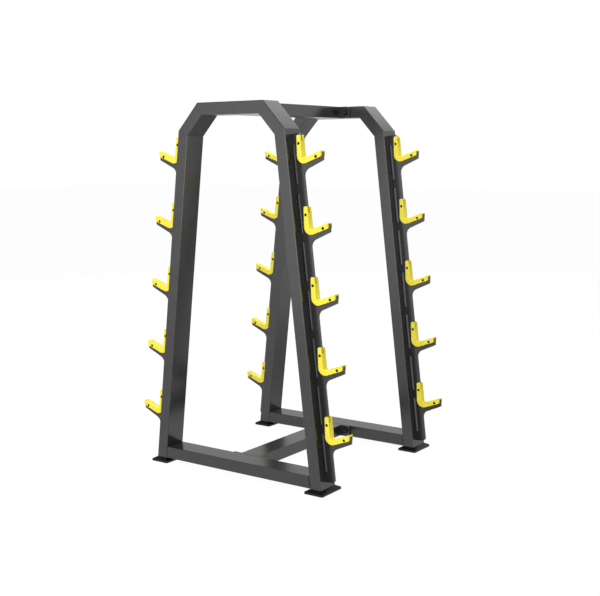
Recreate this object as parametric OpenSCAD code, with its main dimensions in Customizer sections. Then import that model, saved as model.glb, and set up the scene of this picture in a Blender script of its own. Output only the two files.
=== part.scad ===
// Barbell storage rack: two leaning side frames of rectangular tube, joined by two bolted beams.
// Ten barbells lie across it, five on each face, in lined hooks that grow from plates on the uprights.
// X runs along the barbells, -Y is the front face, Z is up, and the feet stand on Z = 0.
// The shapes are drawn for the right rear corner and mirrored to the other three.

/* [Side frames] */
// Distance over the two side frames, from outer face to outer face
frame_across = 825; // [700:5:1000]
// Distance over the uprights' outer edges at their lower ends
base_spread = 850; // [800:1:900]
// Lean of each upright from the vertical, in degrees
lean = 6.6; // [5.6:0.01:6.9]
// Length of the top tubes' upper faces
top_l = 328; // [300:2:360]
// Rise of the slanted shoulders, from the bends to the top
shoulder_rise = 109; // [80:1:140]
// Height of the bends above the leg screws of the highest hooks
head_room = 56; // [50:1:120]
// Height of the base tubes' undersides above the uprights' lower ends
base_tube_lift = 0; // [0:1:60]

/* [Rectangular tube] */
// Long side of the tube's section, along the barbells in the side frames
tube_d = 100; // [80:2:104]
// Short side of the tube's section
tube_w = 50; // [40:2:60]
// Wall of the tube
wall = 3; // [2:0.5:4]
// Outer corner radius of the tube
tube_r = 2.5; // [1:0.5:9]

/* [Beam flanges] */
// Length of the flange plates at the beams' ends
flange_l = 190; // [176:2:220]
// Thickness of the flange plates
flange_t = 10; // [8:1:14]
// Corner radius of the flange plates
flange_r = 12; // [2:1:16]
// Distance of the bolts from the flange plates' ends
bolt_inset = 20; // [16:1:22]

/* [Flange bolts] */
// Shank diameter of the flange bolts
bolt_d = 12; // [10:1:14]
// Clearance on the diameter of the bolt holes
bolt_clearance = 1; // [0.5:0.25:2]
// Bolt head and weld nut, across the flats
bolt_flats = 18; // [17:0.5:21]
// Height of the bolt heads
bolt_head_h = 7.5; // [6:0.5:9]
// Outer diameter of the washers
washer_d = 24; // [22:1:26]
// Thickness of the washers
washer_t = 2.5; // [1.5:0.5:3]
// Height of the weld nuts inside the tubes
weld_nut_h = 10; // [8:1:14]
// Length of thread that shows past the weld nuts
bolt_tail = 3; // [1:1:8]

/* [Hook plates] */
// Thickness of the plates that the hooks are cut from
plate_t = 10; // [6:1:12]
// Width of the plates' upright strips, out of the uprights
strip_w = 37; // [32:1:44]
// Distance along the upright from its lower end to the plate's lower end
plate_rise = 23; // [20:1:60]
// Distance along the upright from the top leg screw to the plate's upper end
plate_over = 36; // [34:1:52]
// Number of open slots along each plate
slot_count = 7; // [3:1:9]
// Width of the slots, out of the upright
slot_w = 6; // [5:0.5:15]
// Length of the welded tabs between the slots
tab_l = 35; // [20:1:40]
// Length of the welded tab below the lowest slot
lower_tab_l = 39; // [20:1:60]
// Length of the welded tab above the highest slot
upper_tab_l = 40; // [20:1:70]
// Radius in the slots' inner corners
slot_r = 3; // [2:0.5:4]
// Radius of the strips' outer corners, at both ends
strip_r = 10; // [4:1:14]

/* [Hooks] */
// Height of the lowest hooks' leg screws above the floor
first_hook_z = 271; // [250:1:320]
// Height from one hook to the next
hook_pitch = 268; // [240:1:300]
// Distance of the leg screws from the uprights' outer edges, measured level
screw_out = 32; // [30:0.2:33]
// Depth of the cradle's inner corner below the leg screw
cradle_drop = 57.4; // [45:0.1:62]
// Rise of the arm's upper face towards its tip, in degrees
arm_rise = 20.2; // [12:0.1:24]
// Distance from the leg screw out to the steel arm's end
arm_reach = 105.5; // [96:0.5:124]
// Depth of the steel arm's lower end corner below the leg screw
arm_end_drop = 62.4; // [56:0.2:70]
// Rise of the steel arm's underside towards its tip, in degrees
under_rise = 24.3; // [18:0.1:28]
// Radius where the steel arm's underside runs into the strip
under_fillet = 30; // [10:1:36]
// Radius in the corner between the strip and the steel arm's upper edge
root_fillet = 4; // [2:0.5:6]
// Radius of the steel arm's lower end corner
tip_r = 4; // [2:0.5:8]

/* [Hook liners] */
// Overall thickness of the liners, along the barbell
liner_w = 29; // [26:1:40]
// Clearance between a liner's cheek and the plate
liner_gap = 0.2; // [0.1:0.05:0.5]
// Clearance between a liner and the plate's edges
seat_gap = 0.05; // [0.02:0.01:0.3]
// Thickness of the liner over the strip's front edge
leg_cover = 5; // [3:0.5:7]
// Thickness of the liner over the steel arm's upper edge
arm_cover = 6; // [4:0.5:8]
// Height of the liner's leg above the leg screw
leg_rise = 32; // [24:0.1:40]
// Height above the leg screw at which the liner's leg opens into a slit
slit_rise = 7; // [6:0.5:14]
// Distance from the leg screw back to the leg's rear edge
leg_back = 8.6; // [7:0.2:11]
// Lean of the leg's rear edge from the vertical, in degrees
leg_back_lean = 1.8; // [0:0.1:5]
// Depth of the liner's arm, square to its upper face
cheek_depth = 20.5; // [20:0.5:28]
// Distance from the leg screw out to the liner's end
cheek_reach = 101.6; // [92:0.2:103]
// Radius of the liner's heel
heel_r = 30; // [16:1:34]
// Radius in the cradle's inner corner
cradle_r = 8; // [4:1:14]
// Radius of the leg's upper corners
leg_r = 6; // [3:0.5:7]
// Radius of the lower corner at the liner's end
toe_r = 6; // [2:0.5:8]
// Radius of the upper corner at the liner's end
lip_r = 2; // [1:0.5:4]

/* [Liner screws] */
// Shank diameter of the liner screws
screw_d = 6; // [4:0.5:8]
// Clearance on the diameter of the screw holes
screw_clearance = 0.5; // [0.3:0.1:1]
// Diameter of the screw heads
screw_head_d = 10; // [8:0.5:11]
// Height of the screw heads
screw_head_h = 6; // [3:0.5:6]
// Screw nuts, across the flats
screw_nut_flats = 10; // [9:0.1:10.2]
// Height of the screw nuts
screw_nut_h = 5; // [3:0.5:5.5]
// Diameter of the round recesses for the heads and nuts
recess_d = 12; // [11.8:0.1:13]
// Depth of the recesses
recess_depth = 6.5; // [6:0.25:7.5]
// Length of thread that shows past the screw nuts
screw_tail = 1; // [0:0.25:1]
// Distance from the leg screw out to the arm screw
arm_screw_out = 78.5; // [60:0.5:84]
// Depth of the arm screw below the arm's upper face
arm_screw_depth = 13; // [12:0.5:13.5]

/* [Feet] */
// Height of the rubber feet under the uprights
foot_h = 18; // [14:1:30]
// Height of the feet's upright rim
foot_rim = 8.5; // [4:0.5:12]
// Distance by which the feet stand out round the tube
foot_flare = 18.5; // [6:0.5:20]
// Corner radius of the feet at the floor
foot_r = 12; // [6:1:18]
// Length of the plug that holds each foot in its tube
plug_l = 25; // [15:1:40]
// Clearance between the plug and the tube's inner faces
plug_gap = 0.3; // [0.1:0.1:1]

/* [Hidden] */
$fn = 64;
SIDES = ["left", "right"];
ENDS = ["front", "rear"];
LEVELS = ["top", "base"];
// Hooks on each upright, which are counted from the floor up
hook_count = 5;
HOOKS = [1:1:hook_count];
CORNERS = [for (side = SIDES) for (end = ENDS) str(side, "_", end)];
CORNER_PIECES = ["upright", "shoulder", "hook_plate", "liner_screws", "liner_nuts", "foot"];

// Overlap that keeps joined or cut shapes from ending on one shared face
lap = 2;
// Clearance on the diameter of every threaded hole
thread_gap = 0.1;

// Colours of the paint, the liners, the rubber and the blackened fasteners
PAINT = [0.22, 0.22, 0.23];
YELLOW = [1, 0.93, 0.1];
RUBBER = [0.07, 0.07, 0.07];
BLACK_STEEL = [0.12, 0.12, 0.12];

// Heights and places that follow from the driving sizes
bend_z = first_hook_z + (hook_count - 1) * hook_pitch + head_room;
rack_h = bend_z + shoulder_rise;
frame_x = frame_across / 2 - tube_d / 2;
flange_x = frame_x - tube_d / 2;
beam_x = flange_x - flange_t;
bolt_y = flange_l / 2 - bolt_inset;
base_z = foot_h + base_tube_lift;
// Inner corner radius of the tube
inner_r = max(tube_r - wall, 0.5);

function unit(v) = v / norm(v);
function cross_of(a, b) = a[0] * b[1] - a[1] * b[0];
// Point where the line through p along d meets the line through q along e
function meet(p, d, q, e) = p + d * cross_of(q - p, e) / cross_of(d, e);
// Point a little past q on the line from p
function beyond(p, q) = q + (q - p) * 0.2;
// Step across a tube from its outer face to its inner face, for a tube that runs along d
function across(d) = tube_w * [-d[1], d[0]];
function flip(p) = [-p[0], p[1]];
function level_z(level) = level == "top" ? rack_h - tube_w / 2 : base_z + tube_w / 2;

// Corners of the side frame, as [Y, Z], on its outer and inner outlines
edge_dir = [-sin(lean), cos(lean)];
edge_out = [cos(lean), sin(lean)];
foot_top = [base_spread / 2, foot_h];
bend = meet(foot_top, edge_dir, [0, bend_z], [1, 0]);
crown = [top_l / 2, rack_h];
shoulder_dir = unit(crown - bend);
inner_edge = foot_top + across(edge_dir);
inner_shoulder = bend + across(shoulder_dir);
foot_in = meet(inner_edge, edge_dir, foot_top, [1, 0]);
bend_in = meet(inner_edge, edge_dir, inner_shoulder, shoulder_dir);
crown_in = meet(inner_shoulder, shoulder_dir, crown + across([-1, 0]), [1, 0]);
base_low = meet(inner_edge, edge_dir, [0, base_z], [1, 0]);
base_high = meet(inner_edge, edge_dir, [0, base_z + tube_w], [1, 0]);

// Hook plate, along the upright
top_hook_z = first_hook_z + (hook_count - 1) * hook_pitch;
plate_end = (top_hook_z - foot_h) / cos(lean) + plate_over;
plate_l = plate_end - plate_rise;
slot_l = (plate_l - lower_tab_l - upper_tab_l - (slot_count - 1) * tab_l) / slot_count;

// Hook outlines, as [out, up] from the leg screw
upright_edge = [-screw_out, 0];
strip_front = upright_edge + strip_w * edge_out;
leg_face = strip_front + leg_cover * edge_out;
arm_dir = [cos(arm_rise), sin(arm_rise)];
arm_down = [sin(arm_rise), -cos(arm_rise)];
cradle = meet(leg_face, edge_dir, [0, -cradle_drop], [1, 0]);
steel_top = cradle + arm_cover * arm_down;
cheek_low = cradle + cheek_depth * arm_down;
root_top = meet(strip_front, edge_dir, steel_top, arm_dir);
tip_top = meet([arm_reach, 0], [0, 1], steel_top, arm_dir);
tip_low = [arm_reach, -arm_end_drop];
root_low = meet(strip_front, edge_dir, tip_low, [cos(under_rise), sin(under_rise)]);
back_dir = [-sin(leg_back_lean), cos(leg_back_lean)];
back_top = meet([-leg_back, 0], back_dir, [0, leg_rise], [1, 0]);
front_top = meet(leg_face, edge_dir, [0, leg_rise], [1, 0]);
leg_seat = strip_front + seat_gap * edge_out;
arm_seat = steel_top - seat_gap * arm_down;
seat_corner = meet(leg_seat, edge_dir, arm_seat, arm_dir);
slit_end = meet(leg_seat, edge_dir, [0, slit_rise], [1, 0]);
lip = meet([cheek_reach, 0], [0, 1], cradle, arm_dir);
toe = meet([cheek_reach, 0], [0, 1], cheek_low, arm_dir);
heel = meet([-leg_back, 0], back_dir, cheek_low, arm_dir);
arm_line_end = meet([cheek_reach + lap, 0], [0, 1], arm_seat, arm_dir);
arm_screw_top = meet([arm_screw_out, 0], [0, 1], cradle, arm_dir);
SCREWS = [[0, 0], arm_screw_top - [0, arm_screw_depth / cos(arm_rise)]];

// Place of the leg screw of hook i, as [Y, Z]
function hook_at(i) = meet(foot_top, edge_dir, [0, first_hook_z + (i - 1) * hook_pitch], [1, 0])
    + [screw_out, 0];

// Puts a right rear shape on the named corner or side of the rack
module on_corner(side, end) {
    mirror([side == "left" ? 1 : 0, 0, 0])
        mirror([0, end == "front" ? 1 : 0, 0])
            translate([frame_x, 0, 0])
                children();
}

// Extrudes an outline drawn in Y and Z, with its thickness centred on X = 0
module slab(thickness) {
    translate([-thickness / 2, 0, 0])
        rotate([90, 0, 90])
            linear_extrude(thickness)
                children();
}

module rounded_rect(width, height, r) {
    square([width - 2 * r, height], center = true);
    square([width, height - 2 * r], center = true);
    for (x = [-1, 1])
        for (y = [-1, 1])
            translate([x * (width / 2 - r), y * (height / 2 - r)])
                circle(r);
}

// Patch between the corner p and the arc that rounds it, with sides that run towards a and b.
// A cut with it rounds an outer corner, and a union with it fills an inner one.
module corner_patch(p, a, b, r) {
    to_a = unit(a - p);
    to_b = unit(b - p);
    half = acos(to_a * to_b) / 2;
    centre = p + unit(to_a + to_b) * r / sin(half);
    difference() {
        polygon([
            p + to_a * r / tan(half),
            centre,
            p + to_b * r / tan(half),
            p + unit(p - centre) * lap
        ]);
        translate(centre)
            circle(r);
    }
}

// Section of the tube, with its outer face on y = 0
module tube_section() {
    translate([0, -tube_w / 2])
        difference() {
            rounded_rect(tube_d, tube_w, tube_r);
            rounded_rect(tube_d - 2 * wall, tube_w - 2 * wall, inner_r);
        }
}

// Tube whose outer face runs from a to b, with ends cut along the lines to a_in and b_in
module mitred_tube(a, b, a_in, b_in) {
    run = b - a;
    intersection() {
        translate([0, a[0], a[1]])
            rotate([atan2(-run[0], run[1]), 0, 0])
                translate([0, 0, -tube_w])
                    linear_extrude(norm(run) + 2 * tube_w)
                        tube_section();
        slab(tube_d + 2 * lap)
            polygon([beyond(a_in, a), beyond(b_in, b), beyond(b, b_in), beyond(a, a_in)]);
    }
}

// Everything that repeats at the two bolts of a flange, with Z turned to point outwards
module at_bolts(level) {
    for (y = [-bolt_y, bolt_y])
        translate([0, y, level_z(level)])
            rotate([0, 90, 0])
                children();
}

module upright() {
    color(PAINT)
        mitred_tube(foot_top, bend, foot_in, bend_in);
}

module shoulder() {
    color(PAINT)
        mitred_tube(bend, crown, bend_in, crown_in);
}

// Level tube of a side frame, with the bolt holes in its inner wall
module level_tube(level) {
    color(PAINT)
        difference() {
            if (level == "top")
                mitred_tube(crown, flip(crown), crown_in, flip(crown_in));
            else
                mitred_tube(flip(base_low), base_low, flip(base_high), base_high);
            translate([-tube_d / 2 - lap, 0, 0])
                at_bolts(level)
                    cylinder(h = wall + 2 * lap, d = bolt_d + bolt_clearance);
        }
}

// Beam between the flange plates
module beam(level) {
    color(PAINT)
        translate([-beam_x, 0, level_z(level) + tube_w / 2])
            rotate([90, 0, 90])
                linear_extrude(2 * beam_x)
                    tube_section();
}

// Flange plate welded to a beam's end
module flange(level) {
    color(PAINT)
        translate([beam_x - frame_x, 0, 0])
            difference() {
                translate([0, 0, level_z(level)])
                    rotate([90, 0, 90])
                        linear_extrude(flange_t)
                            rounded_rect(flange_l, tube_w, flange_r);
                translate([-lap, 0, 0])
                    at_bolts(level)
                        cylinder(h = flange_t + 2 * lap, d = bolt_d + bolt_clearance);
            }
}

module hexagon_bar(flats, h) {
    cylinder(h = h, d = flats / cos(30), $fn = 6);
}

// Everything that repeats at the eight flange bolts
module at_flanges() {
    for (side = SIDES)
        for (level = LEVELS)
            on_corner(side, "rear")
                translate([beam_x - frame_x, 0, 0])
                    at_bolts(level)
                        children();
}

module flange_bolts() {
    grip = washer_t + flange_t + wall + weld_nut_h;
    color(BLACK_STEEL)
        at_flanges() {
            translate([0, 0, -washer_t - bolt_head_h])
                hexagon_bar(bolt_flats, bolt_head_h);
            translate([0, 0, -washer_t - lap])
                cylinder(h = grip + bolt_tail + lap, d = bolt_d);
        }
}

module flange_washers() {
    color(BLACK_STEEL)
        at_flanges()
            translate([0, 0, -washer_t])
                difference() {
                    cylinder(h = washer_t, d = washer_d);
                    translate([0, 0, -lap])
                        cylinder(h = washer_t + 2 * lap, d = bolt_d + bolt_clearance);
                }
}

module flange_weld_nuts() {
    color(BLACK_STEEL)
        at_flanges()
            translate([0, 0, flange_t + wall])
                difference() {
                    hexagon_bar(bolt_flats, weld_nut_h);
                    translate([0, 0, -lap])
                        cylinder(h = weld_nut_h + 2 * lap, d = bolt_d + thread_gap);
                }
}

// Upright strip of a hook plate, with the slots open towards the upright
module strip_outline() {
    lower = [0, plate_rise];
    lower_out = [strip_w, plate_rise];
    upper = [0, plate_end];
    upper_out = [strip_w, plate_end];
    translate(foot_top)
        rotate(lean)
            difference() {
                polygon([lower, lower_out, upper_out, upper]);
                corner_patch(lower_out, lower, upper_out, strip_r);
                corner_patch(upper_out, upper, lower_out, strip_r);
                for (k = [0:slot_count - 1])
                    translate([0, plate_rise + lower_tab_l + k * (slot_l + tab_l) + slot_l / 2])
                        rounded_rect(2 * slot_w, slot_l, slot_r);
            }
}

// Steel arm of one hook, rooted in the strip
module arm_outline() {
    difference() {
        polygon([
            root_top - strip_w / 2 * edge_out,
            root_top,
            tip_top,
            tip_low,
            root_low,
            root_low - strip_w / 2 * edge_out
        ]);
        corner_patch(tip_low, tip_top, root_low, tip_r);
        corner_patch(tip_top, tip_low, root_top, lip_r);
    }
    corner_patch(root_top, root_top + edge_dir, tip_top, root_fillet);
    corner_patch(root_low, root_low - edge_dir, tip_low, under_fillet);
}

// Plate with one strip and all its hooks
module hook_plate() {
    color(PAINT)
        difference() {
            union() {
                slab(plate_t)
                    strip_outline();
                for (i = HOOKS)
                    slab(plate_t)
                        translate(hook_at(i))
                            arm_outline();
            }
            for (i = HOOKS)
                at_screws(i)
                    cylinder(h = plate_t + 2 * lap, d = screw_d + screw_clearance, center = true);
        }
}

// Everything that repeats at the two screws of hook i
module at_screws(i) {
    for (screw = SCREWS)
        translate([0, hook_at(i)[0] + screw[0], hook_at(i)[1] + screw[1]])
            rotate([0, 90, 0])
                children();
}

// Outline of a liner's cheeks, from the leg screw
module cheek_outline() {
    difference() {
        polygon([back_top, front_top, cradle, lip, toe, heel]);
        corner_patch(back_top, front_top, heel, leg_r);
        corner_patch(front_top, back_top, cradle, leg_r);
        corner_patch(lip, cradle, toe, lip_r);
        corner_patch(toe, lip, heel, toe_r);
        corner_patch(heel, toe, back_top, heel_r);
    }
    corner_patch(cradle, front_top, lip, cradle_r);
}

// Space between the cheeks for the plate, open behind, below, at the tip and in the slit above
module slot_outline() {
    far = arm_reach + strip_w;
    polygon([
        slit_end,
        seat_corner,
        arm_line_end,
        [arm_line_end[0], -far],
        [-far, -far],
        [-far, far],
        [far, far],
        [far, slit_rise]
    ]);
    corner_patch(seat_corner, slit_end, arm_line_end, root_fillet + 1);
}

// Moulded liner of hook i, astride the plate
module liner(i) {
    color(YELLOW)
        difference() {
            slab(liner_w)
                translate(hook_at(i))
                    cheek_outline();
            slab(plate_t + 2 * liner_gap)
                translate(hook_at(i))
                    slot_outline();
            at_screws(i) {
                cylinder(h = liner_w + 2 * lap, d = screw_d + screw_clearance, center = true);
                for (face = [-1, 1])
                    translate([0, 0, face * (liner_w / 2 + lap - (recess_depth + lap) / 2)])
                        cylinder(h = recess_depth + lap, d = recess_d, center = true);
            }
        }
}

// Socket-head screws that hold the liners of one plate, entered from the outer side
module liner_screws() {
    seat = liner_w / 2 - recess_depth;
    color(BLACK_STEEL)
        for (i = HOOKS)
            at_screws(i)
                difference() {
                    union() {
                        translate([0, 0, seat])
                            cylinder(h = screw_head_h, d = screw_head_d);
                        translate([0, 0, -seat - screw_nut_h - screw_tail])
                            cylinder(h = 2 * seat + screw_nut_h + screw_tail + lap, d = screw_d);
                    }
                    translate([0, 0, seat + screw_head_h / 2])
                        hexagon_bar(screw_d * 0.8, screw_head_h);
                }
}

module liner_nuts() {
    seat = liner_w / 2 - recess_depth;
    color(BLACK_STEEL)
        for (i = HOOKS)
            at_screws(i)
                translate([0, 0, -seat - screw_nut_h])
                    difference() {
                        hexagon_bar(screw_nut_flats, screw_nut_h);
                        translate([0, 0, -lap])
                            cylinder(h = screw_nut_h + 2 * lap, d = screw_d + thread_gap);
                    }
}

// Rubber foot: a flared pad under the upright and a plug inside it
module foot() {
    cut_w = foot_top[0] - foot_in[0];
    bore_d = tube_d - 2 * wall - 2 * plug_gap;
    bore_w = tube_w - 2 * wall - 2 * plug_gap;
    color(RUBBER) {
        translate([0, (foot_top[0] + foot_in[0]) / 2, 0])
            hull($fn = 32) {
                linear_extrude(foot_rim)
                    rounded_rect(tube_d + 2 * foot_flare, cut_w + 2 * foot_flare, foot_r);
                linear_extrude(foot_h)
                    rounded_rect(tube_d, cut_w, tube_r);
            }
        translate([0, foot_top[0], foot_h])
            rotate([lean, 0, 0])
                translate([0, -tube_w / 2, -foot_h / 2])
                    linear_extrude(foot_h / 2 + plug_l)
                        rounded_rect(bore_d, bore_w, inner_r);
    }
}

for (side = SIDES) {
    for (end = ENDS) {
        corner = str(side, "_", end);
        on_corner(side, end) upright();
        on_corner(side, end) shoulder();
        on_corner(side, end) hook_plate();
        on_corner(side, end) liner_screws();
        on_corner(side, end) liner_nuts();
        on_corner(side, end) foot();
        for (i = HOOKS) {
            on_corner(side, end) liner(i);
        }
    }
    for (level = LEVELS) {
        place = str(side, "_", level);
        on_corner(side, "rear") level_tube(level);
        on_corner(side, "rear") flange(level);
    }
}
for (level = LEVELS) {
    beam(level);
}
flange_bolts();
flange_washers();
flange_weld_nuts();
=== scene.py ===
"""Looks of a barbell storage rack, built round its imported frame.

Every piece is drawn for the right rear corner of the rack and mirrored to the others.
Points in the plane of a side frame are [Y, Z] pairs in metres. Points of a hook are
[out, up] pairs, measured from the screw in the leg of its liner.
"""

from __future__ import annotations

import logging
import math
from dataclasses import dataclass
from enum import Enum
from typing import Sequence

import bpy
import numpy as np
from mathutils import Matrix, Vector
from mathutils.geometry import tessellate_polygon


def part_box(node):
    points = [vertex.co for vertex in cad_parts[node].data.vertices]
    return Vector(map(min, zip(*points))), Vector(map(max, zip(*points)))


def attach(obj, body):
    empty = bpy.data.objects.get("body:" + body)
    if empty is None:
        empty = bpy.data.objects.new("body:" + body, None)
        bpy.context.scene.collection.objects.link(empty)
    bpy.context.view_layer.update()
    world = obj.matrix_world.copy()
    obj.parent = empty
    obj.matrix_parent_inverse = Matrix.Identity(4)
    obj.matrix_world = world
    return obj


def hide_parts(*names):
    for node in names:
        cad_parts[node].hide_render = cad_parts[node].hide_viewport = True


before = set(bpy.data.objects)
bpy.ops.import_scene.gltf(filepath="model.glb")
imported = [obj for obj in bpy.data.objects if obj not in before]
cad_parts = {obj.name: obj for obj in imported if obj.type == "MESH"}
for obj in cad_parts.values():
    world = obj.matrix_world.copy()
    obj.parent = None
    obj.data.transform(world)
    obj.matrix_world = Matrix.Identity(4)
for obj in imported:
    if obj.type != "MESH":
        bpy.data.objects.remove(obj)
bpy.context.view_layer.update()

Socket = bpy.types.NodeSocket
Triple = tuple[float, float, float]

LOG = logging.getLogger("rack")
MM = 0.001
# Points that round to the same place at this step, in metres, are welded into one.
WELD_STEP = 1e-6
# Hooks on each plate.
HOOKS = 5
# Turns from one side of a hexagon to each of its six, in radians.
SIXTHS = np.arange(6) * np.pi / 3


class Side(Enum):
    """Side frame of the rack, with the sign of its X."""

    LEFT = -1
    RIGHT = 1


class End(Enum):
    """Face of the rack, with the sign of its Y."""

    FRONT = -1
    REAR = 1


class Level(Enum):
    """Level of a beam and of the frame tubes that it is bolted to."""

    TOP = "top"
    BASE = "base"


def unit(v: np.ndarray) -> np.ndarray:
    """Vectors scaled to length 1, along the last axis."""
    return v / np.linalg.norm(v, axis=-1, keepdims=True)


def cross_of(a: np.ndarray, b: np.ndarray) -> np.ndarray:
    """Signed area of the parallelogram on two plane vectors."""
    return a[..., 0] * b[..., 1] - a[..., 1] * b[..., 0]


def meet(p: np.ndarray, d: np.ndarray, q: np.ndarray, e: np.ndarray) -> np.ndarray:
    """Point where two plane lines meet.

    Args:
        p: A point on the first line.
        d: Direction of the first line.
        q: A point on the second line.
        e: Direction of the second line.

    Returns:
        The common point.
    """
    return p + d * cross_of(q - p, e) / cross_of(d, e)


def pair(a: float, b: float) -> np.ndarray:
    """A plane point or vector."""
    return np.array([a, b], float)


def turned(angle: float) -> np.ndarray:
    """Unit vector at an angle in radians above the first axis."""
    return pair(math.cos(angle), math.sin(angle))


def spun(points: np.ndarray, angle: float) -> np.ndarray:
    """Plane points turned round the origin by an angle in radians."""
    ahead = turned(angle)
    return points @ np.array([ahead, [-ahead[1], ahead[0]]])


@dataclass(frozen=True)
class Outline:
    """A closed plane outline, drawn anticlockwise, with its outward normals."""

    points: np.ndarray
    normals: np.ndarray

    @classmethod
    def rounded(cls, corners: np.ndarray, radii: np.ndarray, steps: int = 8) -> "Outline":
        """Polygon whose corners are arcs.

        At each corner the sides turn by phi. The arc starts r tan(phi / 2) before the corner, and
        its point at share s of the turn is centre + r n, where n is the outward normal of the
        incoming side turned by s phi. At an inner corner, where phi is negative, r counts negative.

        Args:
            corners: Sharp corners, shape (k, 2).
            radii: Radius at each corner, shape (k,).
            steps: Number of chords in each arc.

        Returns:
            The outline, with steps + 1 points at each corner, in the order of the corners.
        """
        before = unit(corners - np.roll(corners, 1, axis=0))
        after = unit(np.roll(corners, -1, axis=0) - corners)
        phi = np.arctan2(cross_of(before, after), (before * after).sum(axis=1))
        reach = radii * np.tan(np.abs(phi) / 2)
        signed = radii * np.sign(phi)
        start = corners - before * reach[:, None]
        left = np.stack([-before[:, 1], before[:, 0]], axis=1)
        centre = start + left * signed[:, None]
        share = np.linspace(0, 1, steps + 1)
        angle = phi[:, None] * share[None, :]
        cos, sin = np.cos(angle), np.sin(angle)
        out = -left[:, None, :]
        normals = np.stack(
            [out[..., 0] * cos - out[..., 1] * sin, out[..., 0] * sin + out[..., 1] * cos], axis=-1
        )
        points = centre[:, None, :] + signed[:, None, None] * normals
        return cls(points.reshape(-1, 2), normals.reshape(-1, 2))

    @classmethod
    def circle(cls, centre: np.ndarray, radius: float, steps: int = 24) -> "Outline":
        """Circle, whose points are centre + radius (cos t, sin t).

        Args:
            centre: Its centre.
            radius: Its radius.
            steps: Number of chords.

        Returns:
            The outline.
        """
        angle = np.linspace(0, 2 * np.pi, steps, endpoint=False)
        normals = np.stack([np.cos(angle), np.sin(angle)], axis=1)
        return cls(centre + radius * normals, normals)

    @classmethod
    def rectangle(cls, width: float, height: float, r: float, steps: int = 8) -> "Outline":
        """Rectangle round the origin with rounded corners."""
        corners = np.array([[1, -1], [1, 1], [-1, 1], [-1, -1]]) * [width / 2, height / 2]
        return cls.rounded(corners, np.full(4, r), steps)

    def inset(self, distance: float | np.ndarray) -> np.ndarray:
        """Points moved inwards along their normals."""
        return self.points - self.normals * distance

    def shifted(self, step: np.ndarray) -> "Outline":
        """The same outline moved by a step."""
        return Outline(self.points + step, self.normals)


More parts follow.
